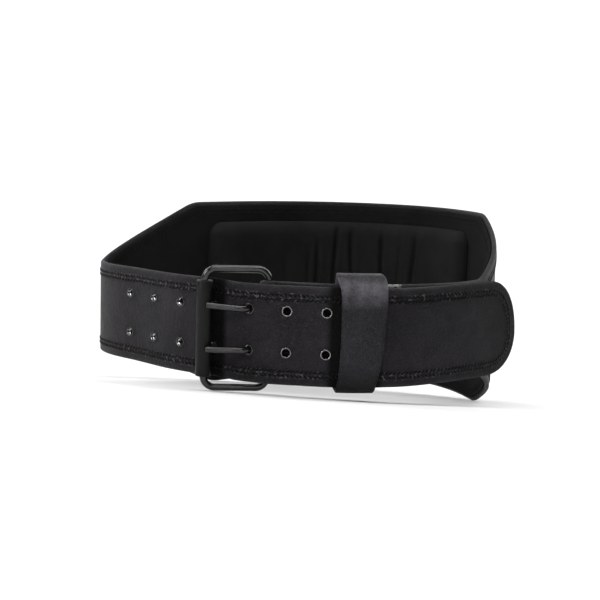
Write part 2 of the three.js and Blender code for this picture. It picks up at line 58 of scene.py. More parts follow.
def makeCamera():
    # place = aim - view direction * distance, all of it leaned with the belt
    az, el, ro = (math.radians(camera[k]) for k in ("azimuth", "elevation", "roll"))
    right = np.array([math.cos(az), math.sin(az), 0])
    ahead = np.array([-math.sin(az) * math.cos(el), math.cos(az) * math.cos(el), -math.sin(el)])
    up = np.cross(right, ahead)
    place = np.array([camera["aimX"], 0, camera["aimZ"]]) - ahead * camera["distance"]
    # the picture's own right and up, turned by the roll
    r = right * math.cos(ro) - up * math.sin(ro)
    u = right * math.sin(ro) + up * math.cos(ro)
    axes = restTurn @ np.stack([r, u, -ahead], 1)
    data = bpy.data.cameras.new("camera")
    data.sensor_width = camera["sensor"]
    data.lens = camera["sensor"] * camera["focus"] / camera["picture"]
    data.clip_start, data.clip_end = 0.01, 20
    cam = bpy.data.objects.new("camera", data)
    m = Matrix(axes.tolist()).to_4x4()
    m.translation = Vector(toRow(place))
    cam.matrix_world = m
    bpy.context.scene.collection.objects.link(cam)
    bpy.context.scene.camera = cam


makeCamera()

# plan path of the leather's outer face
loop = {"width": 288, "depth": 240, "tongue": 218, "strap": 69, "back": 152.4,
        "tip": 33, "tipPower": 2.2, "tipDrop": 7, "sag": 1.6}
# where the tongue's sag starts, is full, ends being full and is gone, past the prong holes
sagSpan = (-28, -6, 102, 165)
leather = {"thick": 3.6, "gap": 0.3, "lining": 1.8, "lift": 0.7, "round": 1.75}
stack = leather["thick"] + leather["gap"] + leather["lining"]
barRadius, barGap = 2.5, 0.4
foldRadius = barRadius + barGap + leather["thick"]

# (x, y) shares of the loop's width and depth, from the hinge bar round to the prong holes
stations = np.array([
    (-0.0623, 0.0100), (0.0700, -0.0132), (0.1947, -0.0008), (0.3183, 0.0500),
    (0.4130, 0.1230), (0.4893, 0.2460), (0.5290, 0.3976), (0.5233, 0.5568),
    (0.4857, 0.7100), (0.4150, 0.8448), (0.3073, 0.9368), (0.1783, 0.9752),
    (0.0460, 0.9644), (-0.0800, 0.9124), (-0.1927, 0.8276), (-0.2930, 0.7224),
    (-0.3900, 0.6128), (-0.4840, 0.4940), (-0.5150, 0.4220), (-0.4960, 0.3430),
    (-0.4007, 0.2280), (-0.3037, 0.1188), (-0.2017, 0.0472), (-0.1035, -0.0015),
])
# (along, free) shares of the tongue: where it lies over the strap, and its lift off it
tongueRows = np.array([
    (0.000, 0.0), (0.095, 0.0), (0.200, 0.0), (0.320, 0.0), (0.450, 0.0),
    (0.570, 0.0005), (0.690, 0.0080), (0.800, 0.0290), (0.890, 0.0600), (0.960, 0.1000),
])
flare = {"rightStart": 0.210, "rightEnd": 0.321, "leftStart": 0.690, "leftEnd": 0.803, "lowerLead": 0.028}


class PlanPath:
    # natural cubic spline through plan points, measured along its length
    def __init__(self, points, steps=40):
        # between two knots: the straight share of both, plus a cubic share of their second derivatives
        p = np.asarray(points, float)
        knots = np.r_[0, np.cumsum(np.linalg.norm(np.diff(p, axis=0), axis=1))]
        n, h = len(p), np.diff(knots)
        # second derivatives m at the knots, nought at both ends
        a = np.eye(n)
        b = np.zeros((n, 2))
        for i in range(1, n - 1):
            a[i, i - 1: i + 2] = h[i - 1], 2 * (h[i - 1] + h[i]), h[i]
            b[i] = 6 * ((p[i + 1] - p[i]) / h[i] - (p[i] - p[i - 1]) / h[i - 1])
        m = np.linalg.solve(a, b)
        t = np.r_[(knots[:-1, None] + h[:, None] * (np.arange(steps) / steps)).ravel(), knots[-1]]
        i = np.clip(np.searchsorted(knots, t, "right") - 1, 0, n - 2)
        v = ((t - knots[i]) / h[i])[:, None]
        u, hh = 1 - v, (h[i] ** 2)[:, None] / 6
        self.xy = u * p[i] + v * p[i + 1] + ((u**3 - u) * m[i] + (v**3 - v) * m[i + 1]) * hh
        self.s = np.r_[0, np.cumsum(np.linalg.norm(np.diff(self.xy, axis=0), axis=1))]
        self.knotS = self.s[:: steps]

    def point(self, s):
        # plan point at a length, between the curve's samples
        return np.stack([np.interp(s, self.s, self.xy[:, k]) for k in (0, 1)], -1)

    def inward(self, s):
        # unit normal to the loop's middle: the tangent over 3 mm turned by a quarter
        d = self.point(np.asarray(s) + 1.5) - self.point(np.asarray(s) - 1.5)
        d /= np.linalg.norm(d, axis=-1, keepdims=True)
        return np.stack([-d[..., 1], d[..., 0]], -1)

    def at(self, s, depth):
        # point plus inward normal times depth
        s, depth = np.broadcast_arrays(np.asarray(s, float), np.asarray(depth, float))
        return self.point(s) + self.inward(s) * depth[..., None]

    def place(self, s, depth, z):
        # a point of the strap: length along it, depth from its outer face, height
        s, depth, z = np.broadcast_arrays(*(np.asarray(v, float) for v in (s, depth, z)))
        return np.concatenate([self.at(s, depth), z[..., None]], -1)


loopPoints = stations * (loop["width"], loop["depth"])
firstPath = PlanPath(loopPoints, 14)
tonguePoints = firstPath.at(tongueRows[:, 0] * loop["tongue"],
                            -(stack + leather["lift"] + np.where(tongueRows[:, 0] == 0, barGap, 0)
                              + tongueRows[:, 1] * loop["tongue"]))
belt = PlanPath(np.vstack([loopPoints, tonguePoints]))
holeS = belt.knotS[len(stations) - 1]
rollerS = belt.knotS[len(stations) - 2]
tipS = holeS + loop["tongue"]
hinge = belt.at(0, foldRadius)
rollerRadius, rollerLift = 5.6, 1.2
# hole pairs, counted along the strap from the one in use
holes = {"columns": (-4, -3, -2, -1, 0, 1, 2), "pitch": 27.2, "radius": 3.35}
roller = belt.at(rollerS, -(rollerRadius + rollerLift))


def halfWidth(s, lead=0):
    # half the strap's width: a ramp up to the back and down again, its corners eased by averaging
    near = np.arange(-6, 7, 2)  # millimetres either side that are averaged
    share = (np.asarray(s, float)[..., None] + near) / holeS
    rise = np.clip((share - flare["rightStart"]) / (flare["rightEnd"] - flare["rightStart"]), 0, 1)
    fall = np.clip((flare["leftEnd"] - lead - share) / (flare["leftEnd"] - flare["leftStart"]), 0, 1)
    wide = np.minimum(rise, fall).mean(-1)
    return (loop["strap"] + (loop["back"] - loop["strap"]) * wide) / 2


def drawnIn(z, s):
    # heights below the middle shrink where the lower edge narrows sooner than the upper one
    share = halfWidth(s, flare["lowerLead"]) / halfWidth(s)
    return np.where(z < 0, z * share, z)


def tipShare(s, end, length):
    # rounded tip: |a|^tipPower + |b|^tipPower = 1
    a = np.clip(1 - (end - np.asarray(s, float)) / length, 0, 1)
    return (1 - a ** loop["tipPower"]) ** (1 / loop["tipPower"])


def smoothStep(x, low, high):
    # 3 t^2 - 2 t^3 between low and high
    t = np.clip((np.asarray(x, float) - low) / (high - low), 0, 1)
    return t * t * (3 - 2 * t)


def tongueSag(s):
    # the tongue hangs a little lower between buckle and keeper
    along = np.asarray(s, float) - holeS
    return loop["sag"] * smoothStep(along, *sagSpan[:2]) * (1 - smoothStep(along, *sagSpan[2:]))


# mesh helpers
def addMesh(name, verts, faces, material, body="belt"):
    # a smooth mesh object that rides on a body
    mesh = bpy.data.meshes.new(name)
    mesh.from_pydata(verts.tolist(), [], faces)
    mesh.update()
    mesh.polygons.foreach_set("use_smooth", np.ones(len(mesh.polygons), bool))
    mesh.materials.append(material)
    obj = bpy.data.objects.new(name, mesh)
    bpy.context.scene.collection.objects.link(obj)
    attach(obj, body)
    return obj


def gridFaces(rows, cols, wrapRows=False):
    # quads of a grid of points, joined round its columns and, if asked, its rows
    r = np.arange(rows if wrapRows else rows - 1)
    c = np.arange(cols)
    a, b = np.meshgrid(r, c, indexing="ij")
    a2, b2 = (a + 1) % rows, (b + 1) % cols
    quads = np.stack([a * cols + b, a * cols + b2, a2 * cols + b2, a2 * cols + b], -1)
    return quads.reshape(-1, 4).tolist()


def cappedFaces(rows, cols):
    # a grid closed round its columns, with one face over each end
    last = (rows - 1) * cols
    return gridFaces(rows, cols) + [list(range(cols))[::-1], [last + i for i in range(cols)]]


def paintColumns(obj, cols, first, last, material):
    # gives the faces of profile columns first to last - 1 of a lathed piece a second material
    obj.data.materials.append(material)
    index = np.arange(len(obj.data.polygons)) % cols
    obj.data.polygons.foreach_set("material_index", ((index >= first) & (index < last)).astype("i4"))


def tubeMesh(name, rings, material, body="belt", closed=False, uv=None):
    # rings: rows x points x 3 in millimetres, each ring closed; ends get a fan of faces
    rows, cols, _ = rings.shape
    faces = gridFaces(rows, cols, True) if closed else cappedFaces(rows, cols)
    obj = addMesh(name, toRow(rings.reshape(-1, 3)), faces, material, body)
    if uv is not None:
        layer = obj.data.uv_layers.new(name="strap")
        index = np.zeros(len(obj.data.loops), int)
        obj.data.loops.foreach_get("vertex_index", index)
        layer.data.foreach_set("uv", uv.reshape(-1, 2)[index].astype("f4").ravel())
    faceOut(obj)
    return obj


def faceOut(obj):
    # turns every face outwards
    bm = bmesh.new()
    bm.from_mesh(obj.data)
    bmesh.ops.recalc_face_normals(bm, faces=bm.faces)
    bm.to_mesh(obj.data)
    bm.free()


def sectionLoop(half, thick, r, across, corner=5):
    # closed outline of a strap section as (depth, height) rows: two long faces and round edges
    turn = np.linspace(0, math.pi / 2, corner)
    run = np.linspace(-1, 1, across)[1:-1]
    rows = len(half)
    h = half[:, None]

    def face(depth, sign):
        # straight run over one long face
        return np.stack([np.full((rows, across - 2), depth), sign * run * (h - r)], -1)

    def arc(middle, sign, start):
        # quarter circle of radius r at one corner
        a = start + turn
        depth = np.broadcast_to(middle + r * np.cos(a), (rows, corner))
        return np.stack([depth, sign * (h - r) + r * np.sin(a)], -1)[:, ::-1]

    return np.concatenate([face(0.0, 1), arc(r, 1, math.pi / 2), arc(thick - r, 1, 0),
                           face(thick, -1), arc(thick - r, -1, -math.pi / 2), arc(r, -1, math.pi)], 1)


def beltLengths(start, end, tip, step, tipRows=22):
    # even steps up to the tip, then shorter and shorter ones: 1 - (1 - t)^1.9
    main = np.arange(start, end - tip, step)
    share = 1 - (1 - np.linspace(0, 1, tipRows)) ** 1.9
    return np.r_[main, end - tip + share * tip * 0.999]


def cutAway(obj, cutters):
    # cuts the cutters' shapes from obj and removes them
    bpy.context.view_layer.objects.active = obj
    for cutter in cutters:
        mod = obj.modifiers.new("cut", "BOOLEAN")
        mod.operation = "DIFFERENCE"
        mod.solver = "EXACT"
        mod.object = cutter
        deps = bpy.context.evaluated_depsgraph_get()
        made = bpy.data.meshes.new_from_object(obj.evaluated_get(deps))
        obj.modifiers.remove(mod)
        old = obj.data
        made.name = old.name
        obj.data = made
        bpy.data.meshes.remove(old)
    for cutter in cutters:
        bpy.data.objects.remove(cutter)


def looseMesh(name, verts, faces):
    # a mesh object that rides on nothing: a cutter, or a piece of the stage
    mesh = bpy.data.meshes.new(name)
    mesh.from_pydata(verts.tolist(), [], faces)
    obj = bpy.data.objects.new(name, mesh)
    bpy.context.scene.collection.objects.link(obj)
    faceOut(obj)
    return obj


# materials
def newMaterial(name):
    # an empty material with one Principled shader
    mat = bpy.data.materials.new(name)
    mat.use_nodes = True
    tree = mat.node_tree
    tree.nodes.clear()
    out = tree.nodes.new("ShaderNodeOutputMaterial")
    shader = tree.nodes.new("ShaderNodeBsdfPrincipled")
    tree.links.new(shader.outputs[0], out.inputs["Surface"])
    return mat, tree, shader


def addNode(tree, kind, inputs=None, **settings):
    # inputs: socket name or number to a value or to the socket that feeds it
    node = tree.nodes.new(kind)
    for key, value in settings.items():
        setattr(node, key, value)
    for key, value in (inputs or {}).items():
        if isinstance(value, bpy.types.NodeSocket):
            tree.links.new(value, node.inputs[key])
        else:
            node.inputs[key].default_value = value
    return node


def mathNode(tree, operation, *values, clamp=False):
    # one sum on one or two values
    node = addNode(tree, "ShaderNodeMath", dict(enumerate(values)), operation=operation, use_clamp=clamp)
    return node.outputs[0]


def vectorNode(tree, operation, inputs):
    # one sum on vectors
    return addNode(tree, "ShaderNodeVectorMath", inputs, operation=operation).outputs[0]


def times(tree, *values):
    # the product of all values
    product = values[0]
    for value in values[1:]:
        product = mathNode(tree, "MULTIPLY", product, value)
    return product


def ramp(tree, value, low, high, toLow=0.0, toHigh=1.0):
    # toLow at low, toHigh at high, clamped
    node = addNode(tree, "ShaderNodeMapRange", {"Value": value, "From Min": low, "From Max": high,
                                                "To Min": toLow, "To Max": toHigh})
    return node.outputs["Result"]


def mixColor(tree, factor, a, b):
    # a where the factor is nought, b where it is one
    node = addNode(tree, "ShaderNodeMix", data_type="RGBA")
    for socket, value in ((node.inputs[0], factor), (node.inputs[6], a), (node.inputs[7], b)):
        if isinstance(value, bpy.types.NodeSocket):
            tree.links.new(value, socket)
        else:
            socket.default_value = value
    return node.outputs[2]


def grey(v, warm=0.0):
    # v, or a little redder and less blue by the share warm
    return (v * (1 + warm), v, v * (1 - warm), 1)


def noiseOut(tree, vector, scale, detail=4.0, rough=0.55):
    # cloudy noise between nought and one
    inputs = {"Vector": vector, "Scale": scale, "Detail": detail, "Roughness": rough}
    return addNode(tree, "ShaderNodeTexNoise", inputs).outputs["Fac"]


def cellEdge(tree, vector, scale):
    # distance to the nearest border of a cell pattern
    inputs = {"Vector": vector, "Scale": scale}
    return addNode(tree, "ShaderNodeTexVoronoi", inputs, feature="DISTANCE_TO_EDGE").outputs["Distance"]


def makeGrainGroup():
    # leather grain: small pebbles from cell distance, broken up by noise, with a few fine wrinkles
    tree = bpy.data.node_groups.new("leatherGrain", "ShaderNodeTree")
    tree.interface.new_socket("Vector", in_out="INPUT", socket_type="NodeSocketVector")
    for output in ("Height", "Cloud", "Crack"):
        tree.interface.new_socket(output, in_out="OUTPUT", socket_type="NodeSocketFloat")
    entry = tree.nodes.new("NodeGroupInput")
    leave = tree.nodes.new("NodeGroupOutput")
    vec = entry.outputs["Vector"]
    warpNode = addNode(tree, "ShaderNodeTexNoise", {"Vector": vec, "Scale": 260.0, "Detail": 2.0})
    warp = warpNode.outputs["Color"]
    # pebbles: cells of about a millimetre, shifted a little by the noise
    shifted = vectorNode(tree, "SUBTRACT", {0: warp, 1: (0.5, 0.5, 0.5)})
    shifted = vectorNode(tree, "SCALE", {0: shifted, 3: 0.0022})
    pebble = ramp(tree, cellEdge(tree, vectorNode(tree, "ADD", {0: vec, 1: shifted}), 900.0), 0.0, 0.28)
    wide = noiseOut(tree, vec, 75.0, 5.0, 0.6)
    height = mathNode(tree, "ADD", times(tree, pebble, 0.55), times(tree, wide, 0.9))
    # wrinkles: borders of wider cells, left only where a noise lets them through
    bent = vectorNode(tree, "ADD", {0: vec, 1: vectorNode(tree, "SCALE", {0: warp, 3: 0.004})})
    border = ramp(tree, cellEdge(tree, bent, 310.0), 0.02, 0.14, 1.0, 0.0)
    crack = times(tree, border, ramp(tree, noiseOut(tree, vec, 130.0, 3.0), 0.42, 0.6))
    tree.links.new(crack, leave.inputs["Crack"])
    tree.links.new(height, leave.inputs["Height"])
    tree.links.new(noiseOut(tree, vec, 22.0, 4.0, 0.6), leave.inputs["Cloud"])
    return tree


grainGroup = makeGrainGroup()


def span(tree, value, start, end, soft, strength=1.0):
    # strength between start and end, nought outside, with soft ends
    rise = ramp(tree, value, start, start + soft)
    return times(tree, rise, ramp(tree, value, end - soft, end, strength, 0.0))


def strapWearAndPaintedLight(tree, look, place, color, rough, total):
    # marks that follow the strap, real wear and painted shade and glints: the map holds the length along it
    # and the distance from its edge
    strap = addNode(tree, "ShaderNodeUVMap", uv_map="strap").outputs[0]
    parts = addNode(tree, "ShaderNodeSeparateXYZ", {0: strap})
    along, edge = parts.outputs["X"], parts.outputs["Y"]
    groove = 0.0
    for inset in look["stitches"]:
        away = mathNode(tree, "ABSOLUTE", mathNode(tree, "SUBTRACT", edge, inset))
        dip = ramp(tree, away, 0.0, 0.0011, 1.0, 0.0)
        groove = mathNode(tree, "MAXIMUM", groove, mathNode(tree, "POWER", dip, 1.5))
    total = mathNode(tree, "SUBTRACT", total, times(tree, groove, look["groove"]))
    # the grooves are darkened too: painted shade in them
    color = mixColor(tree, times(tree, groove, 0.45), color, grey(0.0015))
    # the skived edge is a little worn and lighter
    rim = ramp(tree, edge, 0.0, 0.0032, 1.0, 0.0)
    worn = times(tree, rim, ramp(tree, noiseOut(tree, place, 160.0, 6.0, 0.7), 0.35, 0.75))
    color = mixColor(tree, times(tree, worn, look["worn"]), color, look["wornColor"])
    # raw fibres show in a short worn stretch of the upper edge, beside the keeper
    high = addNode(tree, "ShaderNodeSeparateXYZ", {0: place}).outputs["Z"]
    raw = times(tree, span(tree, along, look["rawFrom"], look["rawTo"], 0.001),
                ramp(tree, edge, 0.0014, 0.0024, 1.0, 0.0), ramp(tree, high, 0.05, 0.055),
                ramp(tree, noiseOut(tree, place, 700.0, 3.0), 0.38, 0.5))
    color = mixColor(tree, raw, color, look["rawColor"])
    # lighter specks beside the threads: painted glints of the threads
    band = times(tree, ramp(tree, edge, 0.0046, 0.0056), ramp(tree, edge, 0.0102, 0.0114, 1.0, 0.0))
    speck = times(tree, band, ramp(tree, noiseOut(tree, place, 540.0, 3.0, 0.6), 0.53, 0.64))
    color = mixColor(tree, speck, color, look["threadGlintColor"])
    # painted shade: stretches darkened and dulled where shade falls, under the roller, beside the keeper
    # and towards the tongue's tip
    shade = 0.0
    for start, end, soft, strength in look["paintedShade"]:
        shade = mathNode(tree, "MAXIMUM", shade, span(tree, along, start, end, soft, strength))
    color = mixColor(tree, shade, color, grey(0.0))
    rough = mathNode(tree, "ADD", rough, times(tree, shade, 0.5), clamp=True)
    return color, rough, total


def keeperPaintedLight(tree, look, place, color, rough):
    # painted light on the band: a mottled painted highlight below the top bend, where the band is also
    # smoother, and painted shade at the foot: the map's Y is the height share
    low, high = look["paintedSheen"]
    strap = addNode(tree, "ShaderNodeUVMap", uv_map="strap").outputs[0]
    share = addNode(tree, "ShaderNodeSeparateXYZ", {0: strap}).outputs["Y"]
    patches = ramp(tree, noiseOut(tree, place, 150.0, 5.0, 0.65), 0.3, 0.62, 0.25, 1.0)
    paintedSheen = times(tree, ramp(tree, share, low, high), ramp(tree, share, 0.86, 0.97, 1.0, 0.12), patches)
    # painted shade towards the foot, then the painted highlight
    color = mixColor(tree, ramp(tree, share, -0.9, -0.5, 0.85, 0.0), color, grey(0.001))
    color = mixColor(tree, paintedSheen, color, look["paintedSheenColor"])
    return color, mathNode(tree, "SUBTRACT", rough, times(tree, paintedSheen, 0.08))


def leatherMaterial(name, look):
    # grain, cloudy colour, flecks and wrinkles, then its own piece's wear and painted light
    mat, tree, shader = newMaterial(name)
    place = addNode(tree, "ShaderNodeTexCoord").outputs["Object"]
    grain = tree.nodes.new("ShaderNodeGroup")
    grain.node_tree = grainGroup
    tree.links.new(place, grain.inputs["Vector"])
    height, cloud = grain.outputs["Height"], grain.outputs["Cloud"]
    color = mixColor(tree, ramp(tree, cloud, 0.3, 0.7), look["dark"], look["light"])
    fleck = ramp(tree, noiseOut(tree, place, 1100.0, 2.0), 0.55, 0.75)
    color = mixColor(tree, times(tree, fleck, look["fleck"]), color, look["fleckColor"])
    rough = ramp(tree, height, 0.5, 1.1, look["rough"] + 0.07, look["rough"] - 0.06)
    crack = times(tree, grain.outputs["Crack"], look["crack"])
    color = mixColor(tree, times(tree, crack, 0.3), color, look["fleckColor"])
    total = mathNode(tree, "SUBTRACT", times(tree, height, look["grain"]), crack)
    if "stitches" in look:
        color, rough, total = strapWearAndPaintedLight(tree, look, place, color, rough, total)
    if "paintedSheen" in look:
        color, rough = keeperPaintedLight(tree, look, place, color, rough)
    bump = addNode(tree, "ShaderNodeBump", {"Height": total, "Strength": look["bump"], "Distance": 0.0006})
    tree.links.new(color, shader.inputs["Base Color"])
    tree.links.new(rough, shader.inputs["Roughness"])
    tree.links.new(bump.outputs[0], shader.inputs["Normal"])
    shader.inputs["Specular IOR Level"].default_value = look["specular"]
    return mat


def suedeMaterial(name, look):
    # cloudy suede with a fine nap that catches light
    mat, tree, shader = newMaterial(name)
    place = addNode(tree, "ShaderNodeTexCoord").outputs["Object"]
    nap = noiseOut(tree, place, 1500.0, 3.0, 0.7)
    cloud = noiseOut(tree, place, 30.0, 5.0, 0.65)
    color = mixColor(tree, ramp(tree, cloud, 0.3, 0.7), look["dark"], look["light"])
    fibres = times(tree, ramp(tree, nap, 0.45, 0.75), 0.35)
    color = mixColor(tree, fibres, color, look["fibre"])
    height = mathNode(tree, "ADD", times(tree, nap, 0.5), times(tree, cloud, 0.9))
    bump = addNode(tree, "ShaderNodeBump", {"Height": height, "Strength": look["bump"], "Distance": 0.0006})
    tree.links.new(color, shader.inputs["Base Color"])
    tree.links.new(bump.outputs[0], shader.inputs["Normal"])
    tree.links.new(ramp(tree, nap, 0.3, 0.8, 0.88, 1.0), shader.inputs["Roughness"])
    shader.inputs["Specular IOR Level"].default_value = look["specular"]
    shader.inputs["Sheen Weight"].default_value = look["sheen"]
    shader.inputs["Sheen Roughness"].default_value = 0.5
    shader.inputs["Sheen Tint"].default_value = (0.5, 0.49, 0.51, 1)
    return mat


def metalMaterial(name, look):
    # smeared dark metal with tiny dents
    mat, tree, shader = newMaterial(name)
    place = addNode(tree, "ShaderNodeTexCoord").outputs["Object"]
    smear = noiseOut(tree, place, 120.0, 5.0, 0.6)
    speck = noiseOut(tree, place, 900.0, 2.0)
    color = mixColor(tree, ramp(tree, smear, 0.35, 0.7), look["dark"], look["light"])
    rough = ramp(tree, smear, 0.3, 0.7, look["rough"] - 0.05, look["rough"] + 0.08)
    dents = mathNode(tree, "ADD", smear, times(tree, speck, 0.3))
    bump = addNode(tree, "ShaderNodeBump", {"Height": dents, "Strength": look["bump"], "Distance": 0.0004})
    tree.links.new(color, shader.inputs["Base Color"])
    tree.links.new(rough, shader.inputs["Roughness"])
    tree.links.new(bump.outputs[0], shader.inputs["Normal"])
    shader.inputs["Metallic"].default_value = look["metal"]
    shader.inputs["Specular IOR Level"].default_value = look["specular"]
    shader.inputs["Coat Weight"].default_value = look["coat"]
    shader.inputs["Coat Roughness"].default_value = 0.12
    return mat


strapLook = {
    "dark": (0.0022, 0.0019, 0.0024, 1), "light": (0.0185, 0.0155, 0.02, 1),
    "fleck": 0.6, "fleckColor": (0.04, 0.034, 0.042, 1), "crack": 0.6,
    "rough": 0.46, "grain": 0.9, "bump": 1.3, "specular": 0.2,
    # grooves under the two stitch rows, in metres from the edge, and their depth; then the colour of the
    # painted glints beside the threads
    "stitches": (0.0067, 0.0098), "groove": 1.2, "threadGlintColor": grey(0.11),
    "worn": 0.7, "wornColor": grey(0.045),
    "rawFrom": 0.081, "rawTo": 0.094, "rawColor": grey(0.4, 0.02),
    # painted shade under the roller, beside the keeper and towards the tip: start, end and soft ends in
    # metres of the strap's length, and strength
    "paintedShade": [
        ((rollerS - 9) / 1000, (rollerS + 15) / 1000, 0.004, 1.0),
        ((holeS + 2 * holes["pitch"] - 1) / 1000, (holeS + 95) / 1000, 0.005, 1.0),
        ((holeS + 120) / 1000, (tipS + 90) / 1000, 0.07, 0.5),
    ],
}
keeperLook = {
    "dark": (0.004, 0.0035, 0.005, 1), "light": (0.026, 0.024, 0.03, 1),
    "fleck": 0.9, "fleckColor": (0.065, 0.06, 0.072, 1), "crack": 1.0,
    "rough": 0.38, "grain": 1.5, "bump": 1.5, "specular": 0.22,
    # painted highlight below the top bend: height shares where it rises and is full, and its colour
    "paintedSheen": (0.42, 0.74), "paintedSheenColor": (0.17, 0.162, 0.185, 1),
}
threadLook = {
    "dark": grey(0.001), "light": grey(0.002), "fleck": 0.5, "fleckColor": grey(0.03), "crack": 0.0,
    "rough": 0.4, "grain": 0.3, "bump": 0.4, "specular": 0.12,
}
liningLook = {
    "dark": grey(0.006), "light": grey(0.010), "fibre": grey(0.022),
    "bump": 0.6, "sheen": 0.02, "specular": 0.05,
}
padLook = {
    "dark": grey(0.008, 0.02), "light": grey(0.013, 0.02), "fibre": grey(0.024, 0.03),
    "bump": 0.6, "sheen": 0.02, "specular": 0.05,
}
buckleLook = {
    "dark": grey(0.03), "light": grey(0.05), "rough": 0.16, "metal": 0.9,
    "bump": 0.1, "coat": 0.3, "specular": 0.5,
}
rollerLook = {
    "dark": grey(0.003), "light": grey(0.006), "rough": 0.4, "metal": 0.0,
    "bump": 0.2, "coat": 0.0, "specular": 0.16,
}
eyeletLook = {
    "dark": grey(0.4), "light": grey(0.6), "rough": 0.12, "metal": 1.0,
    "bump": 0.1, "coat": 0.0, "specular": 0.5,
}
# copies of the rim metal: a lighter one, painted light, and a darker one, painted shade
eyeletRimLitLook = {**eyeletLook, "dark": grey(0.14), "light": grey(0.24), "rough": 0.16}
eyeletShadedLook = {**eyeletLook, "dark": grey(0.05), "light": grey(0.09), "rough": 0.16}

strapLeather = leatherMaterial("strap_leather", strapLook)
keeperLeather = leatherMaterial("keeper_leather_look", keeperLook)
threadMat = leatherMaterial("thread_look", threadLook)
liningSuede = suedeMaterial("lining_suede", liningLook)
padSuede = suedeMaterial("pad_suede", padLook)
buckleMetal = metalMaterial("buckle_look", buckleLook)
rollerMetal = metalMaterial("roller_look", rollerLook)
eyeletNickel = metalMaterial("eyelet_look", eyeletLook)
eyeletRimLit = metalMaterial("eyelet_rim_lit_look", eyeletRimLitLook)
eyeletShaded = metalMaterial("eyelet_shaded_look", eyeletShadedLook)
print("materials made")

# prongs: an eye round the hinge bar, up through the hole, over to the roller
prong = {"radius": 2.3, "eyeGap": 0.25, "eyeStart": -1.95, "eyePoints": 10, "bend": 3.2, "short": 2.2,
         "climb": 1.9, "spacing": 28.8, "rise": 1.0, "room": 0.35}
rowZ = {"upper": prong["rise"] + prong["spacing"] / 2, "lower": prong["rise"] - prong["spacing"] / 2}


def prongPath():
    # plan points: part of a circle round the bar, then a line to the hole and over the roller
    eye = barRadius + prong["eyeGap"] + prong["radius"]
    hole = belt.at(holeS, 0)
    toHinge = hinge - hole
    direction = math.atan2(toHinge[1], toHinge[0]) + math.asin(min(0.9, eye / np.linalg.norm(toHinge)))
    run = np.array([math.cos(direction), math.sin(direction)])
    bend = hole - run * prong["bend"]
    onRoller = roller - (0, rollerRadius + leather["gap"] + prong["radius"])
    along = (onRoller - bend) / np.linalg.norm(onRoller - bend)
    touch = direction + math.pi / 2
    angles = np.linspace(prong["eyeStart"], touch, prong["eyePoints"])
    points = [hinge + eye * np.array([math.cos(a), math.sin(a)]) for a in angles]
    # up to the hole, round the bend and on to the roller
    points += [points[-1] * 0.5 + hole * 0.5, hole, bend + along * prong["bend"] / 2,
               bend + along * prong["bend"] * 1.7, bend + (onRoller - bend) * 0.55,
               onRoller - along * prong["short"]]
    return np.array(points)


def sweepPlan(path, z, radius, sides=16, blunt=0.5, climb=0, steps=110):
    # round wire along a plan path at one height, its ends slightly rounded off
    fine = PlanPath(path, 8)
    total = fine.s[-1]
    ends = blunt * np.array([0, 0.15, 0.5])
    s = np.unique(np.r_[ends, np.linspace(0, total, steps)[1:-1], total - ends[::-1]])
    shrink = np.minimum(s, total - s)
    r = radius - blunt + np.sqrt(np.maximum(blunt**2 - np.maximum(blunt - shrink, 0) ** 2, 0))
    a = np.linspace(0, 2 * math.pi, sides, endpoint=False)
    mid = fine.point(s)
    side = np.gradient(mid, axis=0)
    side /= np.linalg.norm(side, axis=1, keepdims=True)
    side = np.stack([-side[:, 1], side[:, 0]], -1)
    ring = np.zeros((len(s), sides, 3))
    ring[..., :2] = mid[:, None] + side[:, None] * (np.cos(a)[None, :, None] * r[:, None, None])
    # past the hole, which is the second knot after the eye, the wire climbs towards its tip
    hole = fine.knotS[prong["eyePoints"] + 1]
    rise = climb * smoothStep(s, hole, total * 2 - hole) * 2
    ring[..., 2] = z + rise[:, None] + np.sin(a)[None] * r[:, None]
    return ring


prongPlan = prongPath()
for rowName, z in rowZ.items():
    climb = prong["climb"] if rowName == "upper" else 0
    rings = sweepPlan(prongPlan, z, prong["radius"], climb=climb)
    obj = tubeMesh("prong_wire_" + rowName, rings, buckleMetal)
    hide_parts("prong_" + rowName)
print("prongs made")

# outer leather
outer = {"step": 3.0, "across": 34, "fold": 82, "throat": 26, "foldInset": 1.2,
         "foldRows": 38, "turnRows": 15}
tipLead = 16  # straight run before the tip that belongs to its outline


def tipOutline(inset, count):
    # (length, height) points of the tip's outline from the lower edge round to the upper one,
    # moved inwards along its own normal
    a = np.linspace(0, math.pi, count)
    power = 2 / loop["tipPower"]
    # superellipse: the sine and the cosine of the turn raised to 2/tipPower
    reach = np.sin(a) ** power
    high = -np.sign(np.cos(a)) * np.abs(np.cos(a)) ** power
    run = np.arange(-tipLead, 0, 1.0)
    base = tipS - loop["tip"]
    s = np.r_[base + run, base + loop["tip"] * reach, base + run[::-1]]
    share = np.r_[np.full(len(run), -1.0), high, np.full(len(run), 1.0)]
    half = loop["strap"] / 2
    z = share * half - loop["tipDrop"] * (1 - np.maximum(np.abs(share), tipShare(s, tipS, loop["tip"])))
    line = np.stack([s, z], -1)
    ahead = np.gradient(line, axis=0)
    ahead /= np.linalg.norm(ahead, axis=1, keepdims=True) + 1e-9
    return line + np.stack([-ahead[:, 1], ahead[:, 0]], -1) * inset


